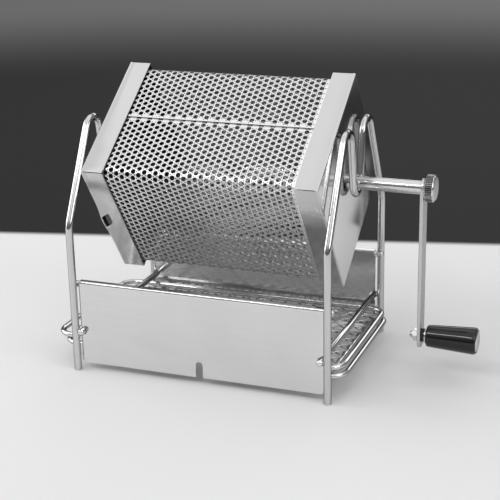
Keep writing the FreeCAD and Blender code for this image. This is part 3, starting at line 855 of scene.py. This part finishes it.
def tubeProfile(start, end, inner, outer):
    return [(start, inner), (start, outer), (end, outer), (end, inner)]


def makeAxle():
    a = axle
    profile = tubeProfile(a["inner"], a["reach"], a["bore"], a["radius"])
    turned("axleTube", profile, "drum", ["axle_tube"], bevel=0.2, steps=64)
    end = drumCap["leftFace"] - a["gap"]
    profile = [(a["stubEnd"], 0)] + [(a["stubEnd"] + x, r) for x, r in a["stubEdge"]]
    profile += [(a["stubEnd"] + a["stubFull"], a["radius"]), (end, a["radius"]), (end, 0)]
    turned("axleStub", profile, "lid", ["axle_stub"], steps=64, closed=False)


makeAxle()

# each stop of the head: step along the axle, radius, and whether its rim is knurled
thumb = {"start": 121.05, "radius": 8.0, "innerRadius": 5.6, "teeth": 44, "toothDepth": 0.42, "stud": 2.0,
         "studEnd": 110.0, "studTip": (0.4, 1.7),
         "stops": [(0.0, 6.8, False), (0.5, 7.3, False), (0.25, 7.45, False), (0.35, 8.0, True),
                   (3.9, 8.0, True), (0.3, 7.45, False), (0.25, 7.3, False), (0.5, 6.7, False),
                   (0.05, 5.4, False)]}


def uprightCircle(bm, segments, radius, filled=True):
    # a circle that faces along the axle
    made = bmesh.ops.create_circle(bm, cap_ends=filled, segments=segments, radius=radius * mm)
    swung(bm, made["verts"], math.pi / 2, "Y")


def makeThumbscrew():
    t = thumb
    bm = bmesh.new()
    uprightCircle(bm, t["teeth"] * 4, t["radius"], filled=False)
    ring = bm.edges[:]
    centre = at(0, 0, axleHeight)
    bmesh.ops.translate(bm, verts=bm.verts, vec=at(t["start"], 0, axleHeight))

    def widen(verts, radius, knurled):
        for index, v in enumerate(sorted(verts, key=lambda v: math.atan2(v.co.z - centre.z, v.co.y))):
            out = Vector((0, v.co.y, v.co.z - centre.z)).normalized()
            depth = t["toothDepth"] if knurled and index % 4 in (0, 3) else 0
            v.co = Vector((v.co.x, 0, centre.z)) + out * (radius - depth) * mm

    widen(bm.verts[:], t["innerRadius"], False)
    bmesh.ops.edgeloop_fill(bm, edges=ring)
    before = False
    for step, radius, knurled in t["stops"]:
        verts, ring, faces = extruded(bm, ring)
        for face in faces:
            # the knurled faces take the dark painted-shade finish
            face.material_index = 1 if knurled and before else 0
        moved(bm, verts, x=step)
        widen(verts, radius, knurled)
        before = knurled
    bmesh.ops.edgeloop_fill(bm, edges=ring)
    bmesh.ops.recalc_face_normals(bm, faces=bm.faces)
    piece("thumbscrewHead", bm, ["turnedBright", "knurlShade"], "thumbscrew",
          ["crank_thumbscrew"], smooth=30)
    tip, tipRadius = t["studTip"]
    profile = [(t["studEnd"], 0), (t["studEnd"], tipRadius), (t["studEnd"] + tip, t["stud"]),
               (t["start"], t["stud"]), (t["start"], 0)]
    turned("thumbscrewStud", profile, "thumbscrew", [], closed=False)


makeThumbscrew()

# crank arm and handle

crank = {"start": 119.0, "thickness": 2.0, "width": 11.0, "bottom": 23.2, "handleZ": 25.2}


def pulled(bm, depth):
    # gives a flat face its depth along the axle
    made = bmesh.ops.extrude_face_region(bm, geom=bm.faces[:])
    moved(bm, [g for g in made["geom"] if isinstance(g, bmesh.types.BMVert)], x=depth)
    bmesh.ops.recalc_face_normals(bm, faces=bm.faces)


def makeArm():
    c = crank
    bm = bmesh.new()
    uprightCircle(bm, 48, c["width"] / 2)
    low = [v for v in bm.verts if v.co.z < -0.000001]
    bmesh.ops.translate(bm, verts=bm.verts, vec=at(c["start"], 0, axleHeight))
    moved(bm, low, z=c["bottom"] - axleHeight)
    pulled(bm, c["thickness"])
    piece("crankArm", bm, "armSatin", "drum", ["crank_arm"], bevel=0.3)


makeArm()

# thread: steps along one turn and down from the full radius; dome: degrees from the rim and share of its height
handle = {"collar": (121.0, 123.0, 4.0), "washer": (123.0, 123.8, 4.5), "nut": (115.8, 119.0, 7.0),
          "screw": 2.0, "screwStart": 113.8, "screwTip": 0.3, "tipRadius": 1.5, "tipEnd": 1.9, "pitch": 0.7,
          "thread": [(0.12, 0), (0.3, 0), (0.5, 0.38), (0.58, 0.38)], "shank": 1.95, "head": (153.0, 155.2),
          "headRadius": 6.5, "headRise": 1.7,
          "dome": [(0, 1.0), (12, 0.78), (26, 0.55), (42, 0.32), (58, 0.15), (74, 0.04), (90, 0.0)],
          "grip": (124.1, 154.1), "gripSmall": 6.6, "gripLarge": 8.2, "gripRows": (0.15, 0.35, 0.6, 0.8),
          "smallRound": 1.2, "largeRound": (2.2, 1.4), "largeIn": 0.12, "boreGap": 0.08, "seatGap": 0.15,
          "seatDepth": 1.4}


def makeHandle():
    h = handle
    z = crank["handleZ"]
    s = h["screw"]
    x = h["screwStart"] + h["screwTip"]
    profile = [(h["screwStart"], 0), (h["screwStart"], h["tipRadius"]), (x, h["tipEnd"])]
    while x < h["nut"][0] - h["pitch"]:
        profile += [(x + step, s - deep) for step, deep in h["thread"]]
        x += h["pitch"]
    under, top = h["head"]
    profile += [(h["nut"][0], h["shank"]), (under, h["shank"]), (under, h["headRadius"])]
    profile += [(top - r * h["headRise"], h["headRadius"] * math.cos(math.radians(a))) for a, r in h["dome"]]
    turned("handleScrew", profile, "drum", ["handle_screw"], z, steps=56, closed=False)
    for word, finish, slot in (("collar", "darkSpacer", "dark_steel"),
                               ("washer", "turnedBright", "turned_steel")):
        start, end, radius = h[word]
        turned("handle" + word.capitalize(), tubeProfile(start, end, s, radius), "drum", ["handle_" + word], z,
               finish, bevel=0.12)
    bm = bmesh.new()
    start, end, flats = h["nut"]
    uprightCircle(bm, 6, flats / 2 / math.cos(math.pi / 6))
    bmesh.ops.translate(bm, verts=bm.verts, vec=at(start, 0, z))
    pulled(bm, end - start)
    piece("handleNut", bm, "turnedBright", "drum", ["handle_nut"], smooth=30, bevel=0.45)


def makeGrip():
    h = handle
    start, end = h["grip"]
    small, large, rounding = h["gripSmall"], h["gripLarge"], h["smallRound"]
    along, down = h["largeRound"]
    bore = h["screw"] + h["boreGap"]
    seat = h["headRadius"] + h["seatGap"]
    profile = [(start, bore), (start, small - rounding)]
    for index in range(1, 6):
        turn = math.pi / 2 * index / 5
        profile.append((start + rounding * (1 - math.cos(turn)), small - rounding * (1 - math.sin(turn))))
    profile += [(start + (end - start) * share, small + (large - small) * share) for share in h["gripRows"]]
    for index in range(7):
        turn = math.pi / 2 * index / 6
        profile.append((end - along * (1 - math.sin(turn)), large - h["largeIn"] - down * (1 - math.cos(turn))))
    profile += [(end, seat), (end - h["seatDepth"], seat), (end - h["seatDepth"], bore)]
    turned("handleGrip", profile, "grip", ["handle_grip"], crank["handleZ"], "gripGloss", steps=72)


makeHandle()
makeGrip()
print("crank and handle made")

# weld spots where wires and rods meet

# where the bars meet the legs and where the rods do, each with its spots' shape
welds = {"size": 1.15, "bars": (77.75, 57.5, 25.2, (0.55, 1.25, 1.25)),
         "rods": (80.0, 55.25, 54.5, (1.25, 0.55, 1.25))}


def makeWelds():
    w = welds
    bm = bmesh.new()
    for side in (-1, 1):
        for end in (-1, 1):
            for x, y, z, shape in (w["bars"], w["rods"]):
                made = bmesh.ops.create_icosphere(bm, subdivisions=2, radius=w["size"] * mm)
                bmesh.ops.scale(bm, verts=made["verts"], vec=shape)
                bmesh.ops.translate(bm, verts=made["verts"], vec=at(side * x, end * y, z))
    piece("weldSpots", bm, "wirePolish", "frame", smooth=0)


makeWelds()

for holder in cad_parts["axle_plug"].material_slots:
    holder.material = finishes["turnedBright"]

# floor, light and camera, in metres

table = {"floor": 6.0, "nearTone": 0.71, "toneSpread": 0.01, "farTone": 0.02, "cloudSize": 0.004,
         "edgeTurn": 12.65, "edgeAway": 0.2288, "edgeBlur": 0.006, "sideStart": 0.1, "sideBlur": 0.02,
         "sideFar": 0.46, "sideFarBlur": 0.12, "middle": (-0.1, 0.6, 0), "fadeStart": 1.2, "fadeEnd": 1.5,
         "wallTone": 0.14, "wallStart": 1.5, "wallEnd": 2.2}


def makeFloor():
    # pale paper like a table top, with a straight far edge and dark ground beyond
    t = table
    bm = bmesh.new()
    bmesh.ops.create_grid(bm, x_segments=1, y_segments=1, size=t["floor"])
    floor = added("floor", meshFrom("floor", bm))
    f = Finish("floorPaper", Roughness=0.7, Specular_IOR_Level=0.08)
    cloud = f.noise(f.place([t["cloudSize"]] * 3), 3.0, 0.5)
    where = f.coords()
    fromMiddle = f.node("ShaderNodeMapping", None, {"Vector": where, "Location": t["middle"]})
    away = f.node("ShaderNodeVectorMath", {"operation": "LENGTH"}, {0: fromMiddle}, out="Value")
    near = f.blend(cloud, grey(t["nearTone"] - t["toneSpread"]), grey(t["nearTone"] + t["toneSpread"]))
    far = f.blend(away.step(t["wallStart"], t["wallEnd"]), grey(t["farTone"]), grey(t["wallTone"]))
    turn = math.radians(t["edgeTurn"])
    edge = f.toward(where, (-math.sin(turn), math.cos(turn), 0))
    gone = edge.step(t["edgeAway"] - t["edgeBlur"], t["edgeAway"] + t["edgeBlur"])
    # beside the picture the table runs on towards the back
    side = f.toward(where, xAxis).step(t["sideStart"], t["sideStart"] + t["sideBlur"])
    behind = f.toward(where, yAxis).step(t["sideFar"] - t["sideFarBlur"], t["sideFar"] + t["sideFarBlur"])
    gone = (gone * (1 - side).high(behind)).high(away.step(t["fadeStart"], t["fadeEnd"]))
    f.set(Base_Color=f.blend(gone, near, far))
    floor.data.materials.append(f.mat)


# place, aim, width and height, and watts
lamps = {"leftPanel": ((-1.8, -0.7, 1.1), (0, 0, 0.1), (1.2, 1.2), 4),
         "lowLeftPanel": ((-1.3, -0.1, 0.4), (0, 0, 0.03), (1.2, 0.7), 8),
         "frontTube": ((-0.45, -1.0, 1.2), (0, 0, 0.05), (1.1, 0.1), 4.5),
         "rightPanel": ((1.5, -0.6, 0.9), (0, 0, 0.03), (0.9, 0.9), 6),
         "backPanel": ((0.0, 1.9, 0.9), (0, 0, 0.05), (1.8, 0.6), 6)}


def makeLamps():
    for name, (spot, aim, size, power) in lamps.items():
        lamp = bpy.data.lights.new(name, "AREA")
        lamp.shape = "RECTANGLE"
        lamp.size, lamp.size_y = size
        lamp.energy = power
        holder = added(name, lamp)
        holder.location = spot
        holder.rotation_euler = (Vector(aim) - Vector(spot)).to_track_quat("-Z", "Y").to_euler()


# tones from straight down to straight up
room = {"lean": 8, "stops": [(0.0, 0.04), (0.5, 0.06), (0.6, 0.14), (0.7, 0.22), (0.8, 0.5), (0.88, 1.3),
                             (0.93, 1.05), (1.0, 0.95)]}


def makeRoom():
    # a studio room: bright ceiling that leans to the front, dark behind the object
    world = bpy.data.worlds.new("room")
    bpy.context.scene.world = world
    world.use_nodes = True
    n = NodeMaker(world.node_tree)
    lean = math.radians(room["lean"])
    height = n.toward(n.node("ShaderNodeTexCoord", out="Generated"), (0, -math.sin(lean), math.cos(lean)))
    tone = n.node("ShaderNodeValToRGB", {"stops": room["stops"]}, {0: height * 0.5 + 0.5})
    backdrop = n.tree.nodes["Background"]
    n.tree.links.new(tone.out, backdrop.inputs["Color"])
    backdrop.inputs["Strength"].default_value = 1.0


# the photograph's viewing angle, from a fit on the frame, the drum and the crank; roll in radians
view = {"yaw": 20.85, "pitch": 18.729, "roll": -0.021, "spot": (281.05, -705.04, 323.58), "focalPixels": 1298.95,
        "pixels": 500, "sensor": 36.0, "nearest": 0.05, "farthest": 50.0}


def makeCamera():
    v = view
    yaw, pitch, roll = math.radians(v["yaw"]), math.radians(v["pitch"]), v["roll"]
    ahead = Vector((-math.sin(yaw) * math.cos(pitch), math.cos(yaw) * math.cos(pitch), -math.sin(pitch)))
    right = Vector((math.cos(yaw), math.sin(yaw), 0))
    up = right.cross(ahead)
    sideways = right * math.cos(roll) + up * math.sin(roll)
    upward = up * math.cos(roll) - right * math.sin(roll)
    data = bpy.data.cameras.new("photoCamera")
    data.sensor_width = v["sensor"]
    data.lens = v["sensor"] * v["focalPixels"] / v["pixels"]
    data.clip_start = v["nearest"]
    data.clip_end = v["farthest"]
    camera = added("photoCamera", data)
    turn = Matrix((sideways, upward, -ahead)).transposed().to_4x4()
    camera.matrix_world = Matrix.Translation(at(*v["spot"])) @ turn
    bpy.context.scene.camera = camera


makeFloor()
makeLamps()
makeRoom()
makeCamera()
bpy.context.scene.view_settings.view_transform = "Standard"
print("floor, light and camera made")
